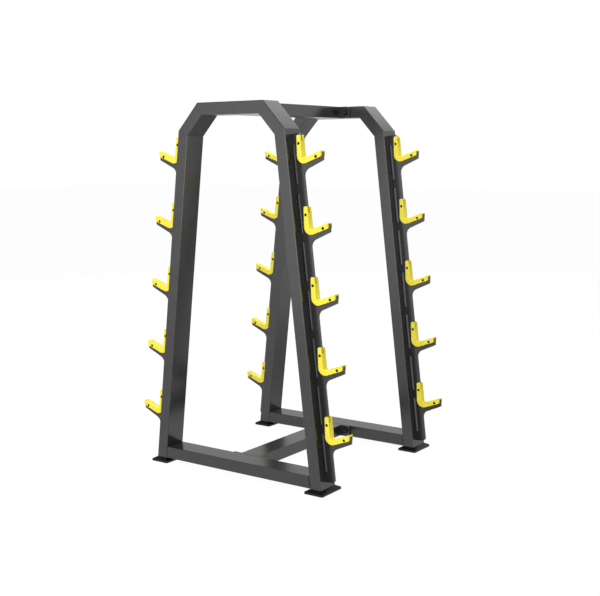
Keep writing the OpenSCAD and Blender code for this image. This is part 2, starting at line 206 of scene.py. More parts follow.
class Surface:
    """A closed surface, collected as patches that share their border points.

    Each patch keeps its own normals, so flat faces stay flat beside rounded edges. The edge
    value of a point is 1 on a rounded outer edge and 0 elsewhere; the materials lighten those
    edges with it, partly as rubbed wear and partly as a painted highlight.
    """

    def __init__(self) -> None:
        """Starts with no patches."""
        self.points: list[np.ndarray] = []
        self.normals: list[np.ndarray] = []
        self.wear_and_highlight: list[np.ndarray] = []
        self.faces: list[np.ndarray] = []
        self.count = 0

    def _take(self, points: np.ndarray, normals: np.ndarray, wear_and_highlight: np.ndarray, faces: np.ndarray) -> None:
        """Adds a patch, with its faces turned to agree with its normals.

        Args:
            points: The patch's points, shape (n, 3).
            normals: Their normals, shape (n, 3).
            wear_and_highlight: Their edge values, 1 where rubbed wear and a painted highlight go, shape
                (n,).
            faces: The points' numbers in each triangle or quad, shape (m, 3) or (m, 4).
        """
        corner = points[faces]
        across = np.cross(corner[:, 2] - corner[:, 0], corner[:, -1] - corner[:, 1])
        if (across * normals[faces].mean(axis=1)).sum() < 0:
            faces = faces[:, ::-1]
        self.points.append(points)
        self.normals.append(normals)
        self.wear_and_highlight.append(wear_and_highlight)
        self.faces.append(faces + self.count)
        self.count += len(points)

    def grid(
        self, points: np.ndarray, normals: np.ndarray, wear_and_highlight: np.ndarray | float = 0.0, closed: bool = False
    ) -> None:
        """Adds a patch of quads.

        Args:
            points: Grid of points, shape (rows, columns, 3).
            normals: Normals of the points, which may have one row or column for all.
            wear_and_highlight: Edge value for rubbed wear and a painted highlight, as one value or a value
                for each row.
            closed: Whether the last column joins the first.
        """
        rows, columns = points.shape[:2]
        index = np.arange(rows * columns).reshape(rows, columns)
        if closed:
            index = np.concatenate([index, index[:, :1]], axis=1)
        quads = np.stack([index[:-1, :-1], index[:-1, 1:], index[1:, 1:], index[1:, :-1]], axis=-1)
        worn_and_highlight = np.broadcast_to(np.reshape(wear_and_highlight, (-1, 1)), (rows, columns))
        self._take(
            points.reshape(-1, 3),
            np.broadcast_to(normals, points.shape).reshape(-1, 3),
            worn_and_highlight.reshape(-1),
            quads.reshape(-1, 4),
        )

    def wall(
        self,
        axis: Axis,
        line: np.ndarray,
        normals: np.ndarray,
        heights: Sequence[float],
        closed: bool = False,
    ) -> None:
        """Adds a straight wall on a plane line, with the line's points at each height.

        Args:
            axis: How the plane lies.
            line: The line's points, shape (n, 2).
            normals: Their plane normals, shape (n, 2), or (1, 2) for all of them.
            heights: Heights of the rows.
            closed: Whether the last point joins the first.
        """
        rows = axis.place(np.stack([line] * len(heights)), np.reshape(heights, (-1, 1)))
        self.grid(rows, axis.place(normals[None], 0.0), closed=closed)

    def fill(self, loops: Sequence[np.ndarray], normal: np.ndarray) -> None:
        """Adds a flat patch inside a loop of points, less any inner loops.

        Args:
            loops: The outer loop and then the holes, each of shape (n, 3).
            normal: The patch's normal.
        """
        points = np.concatenate(loops)
        faces = np.array(tessellate_polygon([[Vector(p) for p in loop] for loop in loops]))
        self._take(points, np.broadcast_to(normal, points.shape), np.zeros(len(points)), faces)

    def add(self, other: "Surface", turn: np.ndarray, step: np.ndarray) -> None:
        """Adds a turned or mirrored and moved copy of another surface.

        Args:
            other: The surface to copy.
            turn: A 3 by 3 matrix that turns or mirrors it.
            step: Its move, after the turn.
        """
        flip = np.linalg.det(turn) < 0
        base = self.count
        for points, normals, wear_and_highlight in zip(other.points, other.normals, other.wear_and_highlight):
            self.points.append(points @ turn.T + step)
            self.normals.append(normals @ turn.T)
            self.wear_and_highlight.append(wear_and_highlight)
        for faces in other.faces:
            self.faces.append((faces[:, ::-1] if flip else faces) + base)
        self.count += other.count

    def mesh(self, name: str) -> bpy.types.Mesh:
        """Welds the patches together by place and makes a mesh with their normals.

        Args:
            name: The mesh's name.

        Returns:
            The mesh, with the edge values for rubbed wear and a painted highlight as an attribute of its
            points.
        """
        points = np.concatenate(self.points)
        normals = unit(np.concatenate(self.normals))
        wear_and_highlight = np.concatenate(self.wear_and_highlight)
        _, first, merged = np.unique(
            np.round(points / WELD_STEP).astype(np.int64), axis=0, return_index=True, return_inverse=True
        )
        merged = merged.reshape(-1)
        worn_and_highlight = np.zeros(len(first))
        np.maximum.at(worn_and_highlight, merged, wear_and_highlight)
        mesh = bpy.data.meshes.new(name)
        polygons = [polygon for faces in self.faces for polygon in merged[faces].tolist()]
        mesh.from_pydata(points[first].tolist(), [], polygons)
        loops = np.concatenate([faces.reshape(-1) for faces in self.faces])
        mesh.attributes.new("wear_and_highlight", "FLOAT", "POINT").data.foreach_set("value", worn_and_highlight)
        mesh.shade_smooth()
        mesh.normals_split_custom_set(normals[loops].tolist())
        return mesh


class Axis(Enum):
    """How a plane outline and its thickness lie in space."""

    SIDE = ((0.0, 1.0, 0.0), (0.0, 0.0, 1.0), (1.0, 0.0, 0.0))
    FLAT = ((1.0, 0.0, 0.0), (0.0, 1.0, 0.0), (0.0, 0.0, 1.0))

    def place(self, plane: np.ndarray, height: np.ndarray | float) -> np.ndarray:
        """Puts plane points in space.

        Args:
            plane: The points, shape (..., 2).
            height: Their heights above the plane, one for all or broadcast to them.

        Returns:
            The points in space, shape (..., 3).
        """
        rows = np.array(self.value)
        wide = np.broadcast_to(height, plane.shape[:-1])[..., None]
        return plane @ rows[:2] + wide * rows[2]

    @property
    def up(self) -> np.ndarray:
        """Direction of the thickness."""
        return np.array(self.value[2])


def rounded_plate(
    surface: Surface,
    axis: Axis,
    outline: Outline,
    low: float,
    high: float,
    edge: float,
    holes: Sequence[Outline] = (),
    steps: int = 3,
) -> None:
    """Adds a plate with rounded rims and straight-walled holes.

    The rim's row at angle t, from -90 to 90 degrees, is the outline drawn in by e (1 - cos t), at
    the height of the nearer face less e, plus e sin t.

    Args:
        surface: The surface that takes the patches.
        axis: How the plate lies.
        outline: The plate's outline.
        low: Height of the lower face.
        high: Height of the upper face.
        edge: Radius e of the rims.
        holes: Outlines of through holes.
        steps: Number of chords in each rim.
    """
    quarter = np.linspace(0, np.pi / 2, steps + 1)
    angle = np.concatenate([-quarter[::-1], quarter])
    base = np.repeat([low + edge, high - edge], steps + 1)
    rows = outline.inset((edge * (1 - np.cos(angle)))[:, None, None])
    points = axis.place(rows, (base + edge * np.sin(angle))[:, None])
    flat = axis.place(outline.normals[None] * np.cos(angle)[:, None, None], np.sin(angle)[:, None])
    surface.grid(points, flat, np.abs(np.sin(2 * angle)), closed=True)
    for height, sign in ((low, -1), (high, 1)):
        loops = [axis.place(outline.inset(edge), height)]
        loops += [axis.place(hole.points, height) for hole in holes]
        surface.fill(loops, sign * axis.up)
    for hole in holes:
        surface.wall(axis, hole.points, -hole.normals, (low, high), closed=True)


def blind_pocket(surface: Surface, axis: Axis, hole: Outline, mouth: float, floor: float) -> None:
    """Adds the wall and floor of a pocket whose mouth is a hole in a flat patch.

    Args:
        surface: The surface that takes the patches.
        axis: How the pocket lies.
        hole: Outline of the pocket.
        mouth: Height of its mouth.
        floor: Height of its floor.
    """
    surface.wall(axis, hole.points, -hole.normals, (mouth, floor), closed=True)
    surface.fill([axis.place(hole.points, floor)], math.copysign(1, mouth - floor) * axis.up)


@dataclass(frozen=True)
class Layout:
    """Places that the sub-assemblies share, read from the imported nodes.

    Attributes:
        frame_x: Distance of a side frame's middle plane from the rack's.
        tube_d: Long side of the tube.
        tube_w: Short side of the tube.
        foot_top: Outer corner of the upright's lower end.
        bend: Outer corner between the upright and the shoulder.
        crown: Outer corner between the shoulder and the top tube.
        base_z: Height of the base tube's underside.
        liner_tops: Heights of the liners' tops, from the floor up.
        beam_x: Distance of the beams' ends from the middle plane.
    """

    frame_x: float
    tube_d: float
    tube_w: float
    foot_top: np.ndarray
    bend: np.ndarray
    crown: np.ndarray
    base_z: float
    liner_tops: np.ndarray
    beam_x: float

    @classmethod
    def from_frame(cls) -> "Layout":
        """Measures the right rear corner's nodes.

        Returns:
            The layout.
        """
        low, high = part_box("right_rear_upright")
        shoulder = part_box("right_rear_shoulder")[1]
        top_low, top_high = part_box("right_top_tube")
        tops = [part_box(f"right_rear_liner_{i}")[1].z for i in range(1, HOOKS + 1)]
        return cls(
            frame_x=(low.x + high.x) / 2,
            tube_d=high.x - low.x,
            tube_w=top_high.z - top_low.z,
            foot_top=pair(high.y, low.z),
            bend=pair(shoulder.y, high.z),
            crown=pair(top_high.y, top_high.z),
            base_z=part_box("right_base_tube")[0].z,
            liner_tops=np.array(tops),
            beam_x=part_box("top_beam")[1].x,
        )

    @property
    def edge_dir(self) -> np.ndarray:
        """Direction up the upright's outer edge."""
        return unit(self.bend - self.foot_top)

    @property
    def edge_out(self) -> np.ndarray:
        """Direction square to the upright's outer edge, outwards."""
        return pair(self.edge_dir[1], -self.edge_dir[0])

    def along(self, rise: float | np.ndarray, out: float | np.ndarray) -> np.ndarray:
        """Points at a distance along the upright and out from its outer edge."""
        rise, out = np.asarray(rise, float), np.asarray(out, float)
        return self.foot_top + rise[..., None] * self.edge_dir + out[..., None] * self.edge_out

    def across(self, direction: np.ndarray) -> np.ndarray:
        """Step from the outer to the inner face of a tube that runs along a direction."""
        return self.tube_w * pair(-direction[1], direction[0])

    def beam_z(self, level: Level) -> float:
        """Height of a beam's axis."""
        low = self.crown[1] - self.tube_w if level is Level.TOP else self.base_z
        return low + self.tube_w / 2


def added(name: str, data: bpy.types.ID) -> bpy.types.Object:
    """Adds an object to the scene.

    Args:
        name: The object's name.
        data: Its mesh, lamp or camera.

    Returns:
        The object.
    """
    made = bpy.data.objects.new(name, data)
    bpy.context.scene.collection.objects.link(made)
    return made


class NodePad:
    """Short way to write a material's, a group's or the world's nodes."""

    def __init__(self, tree: bpy.types.NodeTree) -> None:
        """Starts on an empty tree."""
        self.tree = tree
        tree.nodes.clear()

    def node(self, kind: str, **settings: object) -> bpy.types.Node:
        """Adds a node.

        Args:
            kind: Blender's name of its type.
            settings: Its properties by name.

        Returns:
            The node.
        """
        made = self.tree.nodes.new(kind)
        for key, value in settings.items():
            setattr(made, key, value)
        return made

    def link(self, source: Socket, target: Socket) -> None:
        """Joins two sockets."""
        self.tree.links.new(source, target)

    def math(self, operation: str, *values: Socket | float) -> Socket:
        """Adds a Math node.

        Args:
            operation: Blender's name of the operation.
            values: Sockets or numbers for its inputs.

        Returns:
            The node's output.
        """
        made = self.node("ShaderNodeMath", operation=operation)
        for slot, value in enumerate(values):
            if isinstance(value, Socket):
                self.link(value, made.inputs[slot])
            else:
                made.inputs[slot].default_value = value
        return made.outputs[0]

    def noise(self, vector: Socket, scale: Socket, detail: float) -> Socket:
        """Adds a noise pattern.

        Args:
            vector: The point at which it is read.
            scale: Its scale.
            detail: Number of finer layers on it.

        Returns:
            The noise's value.
        """
        made = self.node("ShaderNodeTexNoise")
        self.link(vector, made.inputs["Vector"])
        self.link(scale, made.inputs["Scale"])
        made.inputs["Detail"].default_value = detail
        return made.outputs["Fac"]

    def span(self, value: Socket, low: float, high: float, to_low: float, to_high: float) -> Socket:
        """Maps a value from one range to another, clamped.

        Args:
            value: The value.
            low: Start of its range.
            high: End of its range.
            to_low: Result at the start.
            to_high: Result at the end.

        Returns:
            The result.
        """
        made = self.node("ShaderNodeMapRange")
        self.link(value, made.inputs["Value"])
        for key, number in zip(("From Min", "From Max", "To Min", "To Max"), (low, high, to_low, to_high)):
            made.inputs[key].default_value = number
        return made.outputs["Result"]

    def group(self, group: bpy.types.NodeTree, place: Socket, **values: float) -> Socket:
        """Puts a shared group here, with its own values.

        Args:
            group: The group.
            place: The point at which its pattern is read.
            values: Its other inputs by name.

        Returns:
            The group's output.
        """
        made = self.node("ShaderNodeGroup", node_tree=group)
        self.link(place, made.inputs["Vector"])
        for key, value in values.items():
            made.inputs[key].default_value = value
        return made.outputs[0]

    def mix(self, share: Socket, first: bpy.types.Node, second: bpy.types.Node) -> bpy.types.Node:
        """Mixes two shaders.

        Args:
            share: Share of the second one.
            first: The first shader.
            second: The second shader.

        Returns:
            The mixed shader.
        """
        made = self.node("ShaderNodeMixShader")
        for slot, socket in enumerate((share, first.outputs[0], second.outputs[0])):
            self.link(socket, made.inputs[slot])
        return made

    def show(self, shader: bpy.types.Node, output: str = "ShaderNodeOutputMaterial") -> None:
        """Makes a shader the surface of the material, or of what the output's type says."""
        self.link(shader.outputs[0], self.node(output).inputs["Surface"])


def new_group(name: str, inputs: dict[str, float], output: str) -> tuple[NodePad, dict[str, Socket], Socket]:
    """Makes a node group that reads a vector and some values, and gives one value.

    Args:
        name: The group's name.
        inputs: Names of its value inputs, with their defaults.
        output: Name of its output.

    Returns:
        The pad, the group's input sockets by name, and its output socket.
    """
    group = bpy.data.node_groups.new(name, "ShaderNodeTree")
    group.interface.new_socket("Vector", in_out="INPUT", socket_type="NodeSocketVector")
    for key, value in inputs.items():
        made = group.interface.new_socket(key, in_out="INPUT", socket_type="NodeSocketFloat")
        made.default_value = value
    group.interface.new_socket(output, in_out="OUTPUT", socket_type="NodeSocketFloat")
    pad = NodePad(group)
    entry, leave = pad.node("NodeGroupInput"), pad.node("NodeGroupOutput")
    return pad, {key: entry.outputs[key] for key in ("Vector", *inputs)}, leave.inputs[output]


class Effects:
    """Node groups that several finishes share, each built once.

    Attributes:
        FINER: Scale of the grain's fine layer, as a multiple of the coarse one's.
        GRAIN_DETAIL: Detail of the grain's noises.
        RUB_AND_HIGHLIGHT_DETAIL: Detail of the blotches in the edge wear and painted edge highlight.
        RUB_AND_HIGHLIGHT_SPAN: Range of noise over which the wear and painted highlight come in, and their
            share at both ends.
        MOTTLE_DETAIL: Detail of the slow change.
        MOTTLE_SPAN: Range of noise that the slow change takes, and its values at both ends.
    """

    FINER = 3.7
    GRAIN_DETAIL = 2.0
    RUB_AND_HIGHLIGHT_DETAIL = 4.0
    RUB_AND_HIGHLIGHT_SPAN = (0.42, 0.68, 0.25, 1.0)
    MOTTLE_DETAIL = 3.0
    MOTTLE_SPAN = (0.3, 0.7, -1.0, 1.0)

    def __init__(self) -> None:
        """Builds the groups."""
        self.grain = self._grain()
        self.rub_and_highlight = self._rub()
        self.mottle = self._mottle()

    def _grain(self) -> bpy.types.NodeTree:
        """Fine relief: a coarse noise and a share of a finer one, added.

        Returns:
            The group.
        """
        pad, inputs, output = new_group("fine_grain", {"Size": 300.0, "Share": 0.4}, "Height")
        coarse = pad.noise(inputs["Vector"], inputs["Size"], self.GRAIN_DETAIL)
        size = pad.math("MULTIPLY", inputs["Size"], self.FINER)
        fine = pad.math("MULTIPLY", pad.noise(inputs["Vector"], size, self.GRAIN_DETAIL), inputs["Share"])
        pad.link(pad.math("ADD", coarse, fine), output)
        return pad.tree

    def _rub(self) -> bpy.types.NodeTree:
        """Rubbed wear and a painted highlight on outer edges: the piece's edge attribute where a blotchy
        noise is high.

        Returns:
            The group.
        """
        pad, inputs, output = new_group("edge_rub_and_highlight", {"Size": 40.0, "Amount": 0.5}, "Mask")
        wear_and_highlight = pad.node("ShaderNodeAttribute", attribute_name="wear_and_highlight").outputs["Fac"]
        patchy = pad.span(pad.noise(inputs["Vector"], inputs["Size"], self.RUB_AND_HIGHLIGHT_DETAIL), *self.RUB_AND_HIGHLIGHT_SPAN)
        pad.link(pad.math("MULTIPLY", pad.math("MULTIPLY", wear_and_highlight, patchy), inputs["Amount"]), output)
        return pad.tree

    def _mottle(self) -> bpy.types.NodeTree:
        """Broad, slow change over a surface, from -1 to 1 times the amount.

        Returns:
            The group.
        """
        pad, inputs, output = new_group("slow_mottle", {"Size": 6.0, "Amount": 1.0}, "Value")
        noise = pad.noise(inputs["Vector"], inputs["Size"], self.MOTTLE_DETAIL)
        pad.link(pad.math("MULTIPLY", pad.span(noise, *self.MOTTLE_SPAN), inputs["Amount"]), output)
        return pad.tree


@dataclass(frozen=True)
class Finish:
    """A surface finish.

    Attributes:
        name: The material's name.
        slot: Name of a material slot; not used.
        colour: Linear colour of the body of the surface.
        worn_and_highlight: Linear colour on rubbed edges, lighter than the body, which paints wear and an
            edge highlight.
        rub_and_highlight: Strength of the rubbed edges and their painted highlight.
        roughness: Middle roughness.
        roughness_swing: Change of the roughness over the surface, up and down.
        tone_swing: Change of the colour's strength over the surface, up and down.
        grain_size: Scale of the fine relief, in cycles per metre.
        grain_depth: Height of the fine relief, in metres.
        fine_share: Share of the finer layer in the relief.
        specular: Specular level of the shader.
        rub_size: Scale of the blotches in the rubbed edges and their painted highlight.
        tone_size: Scale of the change of the colour's strength.
        roughness_size: Scale of the change of the roughness.
    """

    name: str
    slot: str
    colour: Triple
    worn_and_highlight: Triple
    rub_and_highlight: float
    roughness: float
    roughness_swing: float
    tone_swing: float
    grain_size: float
    grain_depth: float
    fine_share: float = 0.4
    specular: float = 0.5
    rub_size: float = 45.0
    tone_size: float = 5.0
    roughness_size: float = 23.0

    def material(self, effects: Effects) -> bpy.types.Material:
        """Builds the material.

        Args:
            effects: The shared node groups.

        Returns:
            The material, whose patterns lie on Object coordinates.
        """
        made = bpy.data.materials.new(self.name)
        made.use_nodes = True
        pad = NodePad(made.node_tree)
        place = pad.node("ShaderNodeTexCoord").outputs["Object"]
        shader = pad.node("ShaderNodeBsdfPrincipled")
        shader.inputs["Specular IOR Level"].default_value = self.specular
        tone = pad.group(effects.mottle, place, Size=self.tone_size, Amount=self.tone_swing)
        change = pad.group(effects.mottle, place, Size=self.roughness_size, Amount=self.roughness_swing)
        shade = pad.node("ShaderNodeVectorMath", operation="SCALE")
        shade.inputs[0].default_value = self.colour
        pad.link(pad.math("ADD", tone, 1.0), shade.inputs["Scale"])
        # The lighter edge colour mixed in here is partly rubbed wear and partly a painted highlight on
        # rounded edges.
        mix = pad.node("ShaderNodeMix", data_type="RGBA")
        pad.link(pad.group(effects.rub_and_highlight, place, Size=self.rub_size, Amount=self.rub_and_highlight), mix.inputs["Factor"])
        pad.link(shade.outputs["Vector"], mix.inputs["A"])
        mix.inputs["B"].default_value = (*self.worn_and_highlight, 1.0)
        pad.link(mix.outputs["Result"], shader.inputs["Base Color"])
        pad.link(pad.math("ADD", change, self.roughness), shader.inputs["Roughness"])
        bump = pad.node("ShaderNodeBump")
        bump.inputs["Strength"].default_value = 1.0
        bump.inputs["Distance"].default_value = self.grain_depth
        grain = pad.group(effects.grain, place, Size=self.grain_size, Share=self.fine_share)
        pad.link(grain, bump.inputs["Height"])
        pad.link(bump.outputs["Normal"], shader.inputs["Normal"])
        pad.show(shader)
        return made


# Each finish's worn colour is lighter than its body: rubbed wear on its rounded edges, and a painted
# highlight there.
POWDER_COAT = Finish(
    name="charcoal_powder_coat",
    slot="frame_paint",
    colour=(0.013, 0.013, 0.014),
    worn_and_highlight=(0.05, 0.05, 0.05),
    rub_and_highlight=0.2,
    roughness=0.21,
    roughness_swing=0.012,
    tone_swing=0.04,
    grain_size=420.0,
    grain_depth=0.000003,
    specular=0.9,
)
LINER_YELLOW = Finish(
    name="yellow_moulding",
    slot="liner_plastic",
    colour=(0.98, 0.84, 0.05),
    worn_and_highlight=(1.0, 0.88, 0.10),
    rub_and_highlight=0.4,
    roughness=0.38,
    roughness_swing=0.04,
    tone_swing=0.02,
    grain_size=900.0,
    grain_depth=0.00002,
    fine_share=0.7,
)
BLACK_STEEL = Finish(
    name="blackened_steel",
    slot="black_steel",
    colour=(0.010, 0.010, 0.011),
    worn_and_highlight=(0.08, 0.08, 0.08),
    rub_and_highlight=0.4,
    roughness=0.34,
    roughness_swing=0.06,
    tone_swing=0.12,
    grain_size=1500.0,
    grain_depth=0.00001,
    specular=0.25,
)
FOOT_RUBBER = Finish(
    name="black_rubber",
    slot="foot_rubber",
    colour=(0.005, 0.005, 0.005),
    worn_and_highlight=(0.02, 0.02, 0.02),
    rub_and_highlight=0.6,
    roughness=0.34,
    roughness_swing=0.05,
    tone_swing=0.15,
    grain_size=700.0,
    grain_depth=0.00001,
    fine_share=0.8,
    specular=0.35,
)


class Workshop:
    """Makes finished pieces of surfaces, and keeps their materials."""

    def __init__(self) -> None:
        """Builds the shared effects and a material for each finish."""
        effects = Effects()
        finishes = (POWDER_COAT, LINER_YELLOW, BLACK_STEEL, FOOT_RUBBER)
        self.materials = {finish: finish.material(effects) for finish in finishes}

    def piece(
        self,
        surface: Surface,
        name: str,
        finish: Finish,
        node: str,
        side: Side = Side.RIGHT,
        end: End = End.REAR,
    ) -> None:
        """Turns a right rear surface into a finished piece on one corner.

        Args:
            surface: The piece's surface, at the right rear corner.
            name: The piece's name.
            finish: Its finish.
            node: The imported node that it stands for.
            side: The side frame that it belongs to.
            end: The face of the rack that it belongs to.
        """
        mirrored = Surface()
        mirrored.add(surface, np.diag([side.value, end.value, 1.0]), np.zeros(3))
        mesh = mirrored.mesh(name)
        mesh.materials.append(self.materials[finish])
        made = added(name, mesh)
        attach(made, "root")
        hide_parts(node)
        LOG.info("%s: %d faces", name, len(mesh.polygons))

    def four(self, surface: Surface, name: str, finish: Finish, node: str) -> None:
        """Makes a piece on each of the four corners.

        Args:
            surface: The pieces' surface, at the right rear corner.
            name: Their name, less the corner's.
            finish: Their finish.
            node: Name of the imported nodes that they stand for, less the corner's.
        """
        for side in Side:
            for end in End:
                corner = f"{side.name}_{end.name}".lower()
                self.piece(surface, f"{corner}_{name}", finish, f"{corner}_{node}", side, end)

    def dress_node(self, node: str, finish: Finish) -> None:
        """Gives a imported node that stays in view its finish.

        Args:
            node: The node's name.
            finish: Its finish.
        """
        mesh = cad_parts[node].data
        mesh.materials.clear()
        mesh.materials.append(self.materials[finish])


@dataclass
class SideFrames:
    """The welded side frames and the two beams, all of one rectangular tube.

    Attributes:
        corner_r: Outer corner radius of the tube.
        bore_r: Inner corner radius of the tube.
        wall: Wall of the tube.
        end_chamfer: Dressed edge at each cut end, which leaves a fine line at the joints.
        groove_w: Width of the groove where a base tube meets an upright.
        groove_deep: Depth of that groove.
    """

    layout: Layout
    corner_r: float = 2.5 * MM
    bore_r: float = 0.5 * MM
    wall: float = 3.0 * MM
    end_chamfer: float = 0.2 * MM
    groove_w: float = 3.0 * MM
    groove_deep: float = 2.4 * MM

    def tube(
        self,
        start: np.ndarray,
        run: np.ndarray,
        out: np.ndarray,
        slope_start: float,
        slope_end: float,
        side: np.ndarray,
        grooved: bool = False,
    ) -> Surface:
        """Makes a tube with slanted ends.

        A point of the section at (x, n), n from 0 at the outer face to -w at the inner one, is
        carried to start + x side + n out + s way, where way is the run's direction. Its s goes
        from n times the first slope to the run's length plus n times the second. The rims are
        drawn in by the chamfer at both ends, or by a square step if the tube has grooves there.

        Args:
            start: Middle of the outer face at its first end.
            run: Vector along the outer face to its other end.
            out: Unit vector from the inner to the outer face.
            slope_start: Advance of the start cut for each metre of n.
            slope_end: Advance of the end cut for each metre of n.
            side: Unit vector along the section's long side.
            grooved: Whether its ends step in, which leaves a dark groove at the joints.

        Returns:
            The closed surface of the hollow tube.
        """
        surface = Surface()
        length = float(np.linalg.norm(run))
        way = run / length
        lay = self.layout
        middle = pair(0, -lay.tube_w / 2)
        outer = Outline.rectangle(lay.tube_d, lay.tube_w, self.corner_r).shifted(middle)
        bore_d, bore_w = lay.tube_d - 2 * self.wall, lay.tube_w - 2 * self.wall
        inner = Outline.rectangle(bore_d, bore_w, self.bore_r).shifted(middle)

        def spread(ring: np.ndarray) -> np.ndarray:
            """Section vectors as space vectors."""
            return ring[:, :1] * side + ring[:, 1:] * out

        def carry(ring: np.ndarray, advance: float, at_end: bool) -> np.ndarray:
            """Carries a ring of the section to an end of the tube.

            Args:
                ring: Points of the section, shape (n, 2).
                advance: Their further advance along the tube.
                at_end: Whether they go to its end, and not to its start.

            Returns:
                The points in space, shape (n, 3).
            """
            slope, base = (slope_end, length) if at_end else (slope_start, 0.0)
            s = base + ring[:, 1] * slope + advance
            return start + spread(ring) + s[:, None] * way

        c = self.groove_w if grooved else self.end_chamfer
        cut = outer.inset(self.groove_deep if grooved else c)
        wide = spread(outer.normals)
        rims = np.stack([carry(outer.points, c, False), carry(outer.points, -c, True)])
        bore = np.stack([carry(inner.points, 0.0, False), carry(inner.points, 0.0, True)])
        surface.grid(rims, wide, closed=True)
        surface.grid(bore, -spread(inner.normals), closed=True)
        for at_end, (slope, sign) in enumerate(((slope_start, -1), (slope_end, 1))):
            facing = unit(sign * (way - slope * out))
            face = carry(cut, 0.0, bool(at_end))
            surface.grid(np.stack([face, bore[at_end]]), facing, closed=True)
            if grooved:
                neck = carry(cut, -sign * c, bool(at_end))
                surface.grid(np.stack([face, neck]), wide, closed=True)
                surface.grid(np.stack([neck, rims[at_end]]), facing, closed=True)
            else:
                surface.grid(np.stack([face, rims[at_end]]), unit(wide + sign * way), 1.0, closed=True)
        return surface

    def mitred(
        self, a: np.ndarray, b: np.ndarray, a_in: np.ndarray, b_in: np.ndarray, grooved: bool = False
    ) -> Surface:
        """Makes a tube in a side frame.

        Args:
            a: Outer corner at the start, as [Y, Z].
            b: Outer corner at the end.
            a_in: Inner corner at the start.
            b_in: Inner corner at the end.
            grooved: Whether its ends step in.

        Returns:
            The tube's surface, in the right side frame.
        """
        way = unit(b - a)
        out = -self.layout.across(way) / self.layout.tube_w
        slopes = [-float(step @ way) / self.layout.tube_w for step in (a_in - a, b_in - b)]
        place = Axis.SIDE.place
        start, run = place(a, self.layout.frame_x), place(b - a, 0.0)
        return self.tube(start, run, place(out, 0.0), *slopes, Axis.SIDE.up, grooved)

    def build(self, shop: Workshop) -> None:
        """Makes all the tubes and beams.

        Args:
            shop: What finishes the pieces.
        """
        lay = self.layout
        level_way = pair(1, 0)
        shoulder_way = unit(lay.crown - lay.bend)
        inner_edge = lay.foot_top + lay.across(lay.edge_dir)
        inner_shoulder = lay.bend + lay.across(shoulder_way)
        foot_in = meet(inner_edge, lay.edge_dir, lay.foot_top, level_way)
        bend_in = meet(inner_edge, lay.edge_dir, inner_shoulder, shoulder_way)
        crown_in = meet(inner_shoulder, shoulder_way, lay.crown - pair(0, lay.tube_w), level_way)
        low = meet(inner_edge, lay.edge_dir, pair(0, lay.base_z), level_way)
        high = meet(inner_edge, lay.edge_dir, pair(0, lay.base_z + lay.tube_w), level_way)
        flip = pair(-1, 1)
        upright = self.mitred(lay.foot_top, lay.bend, foot_in, bend_in)
        shoulder = self.mitred(lay.bend, lay.crown, bend_in, crown_in)
        top = self.mitred(lay.crown, lay.crown * flip, crown_in, crown_in * flip)
        base = self.mitred(low * flip, low, high * flip, high, grooved=True)
        shop.four(upright, "upright_tube", POWDER_COAT, "upright")
        shop.four(shoulder, "shoulder_tube", POWDER_COAT, "shoulder")
        for side in Side:
            word = side.name.lower()
            shop.piece(top, f"{word}_top_frame_tube", POWDER_COAT, f"{word}_top_tube", side)
            shop.piece(base, f"{word}_base_frame_tube", POWDER_COAT, f"{word}_base_tube", side)
        for level in Level:
            start = np.array([-lay.beam_x, 0.0, lay.beam_z(level) + lay.tube_w / 2])
            run = np.array([2 * lay.beam_x, 0.0, 0.0])
            beam = self.tube(start, run, Axis.FLAT.up, 0.0, 0.0, np.array([0.0, 1.0, 0.0]))
            shop.piece(beam, f"{level.value}_beam_tube", POWDER_COAT, f"{level.value}_beam")


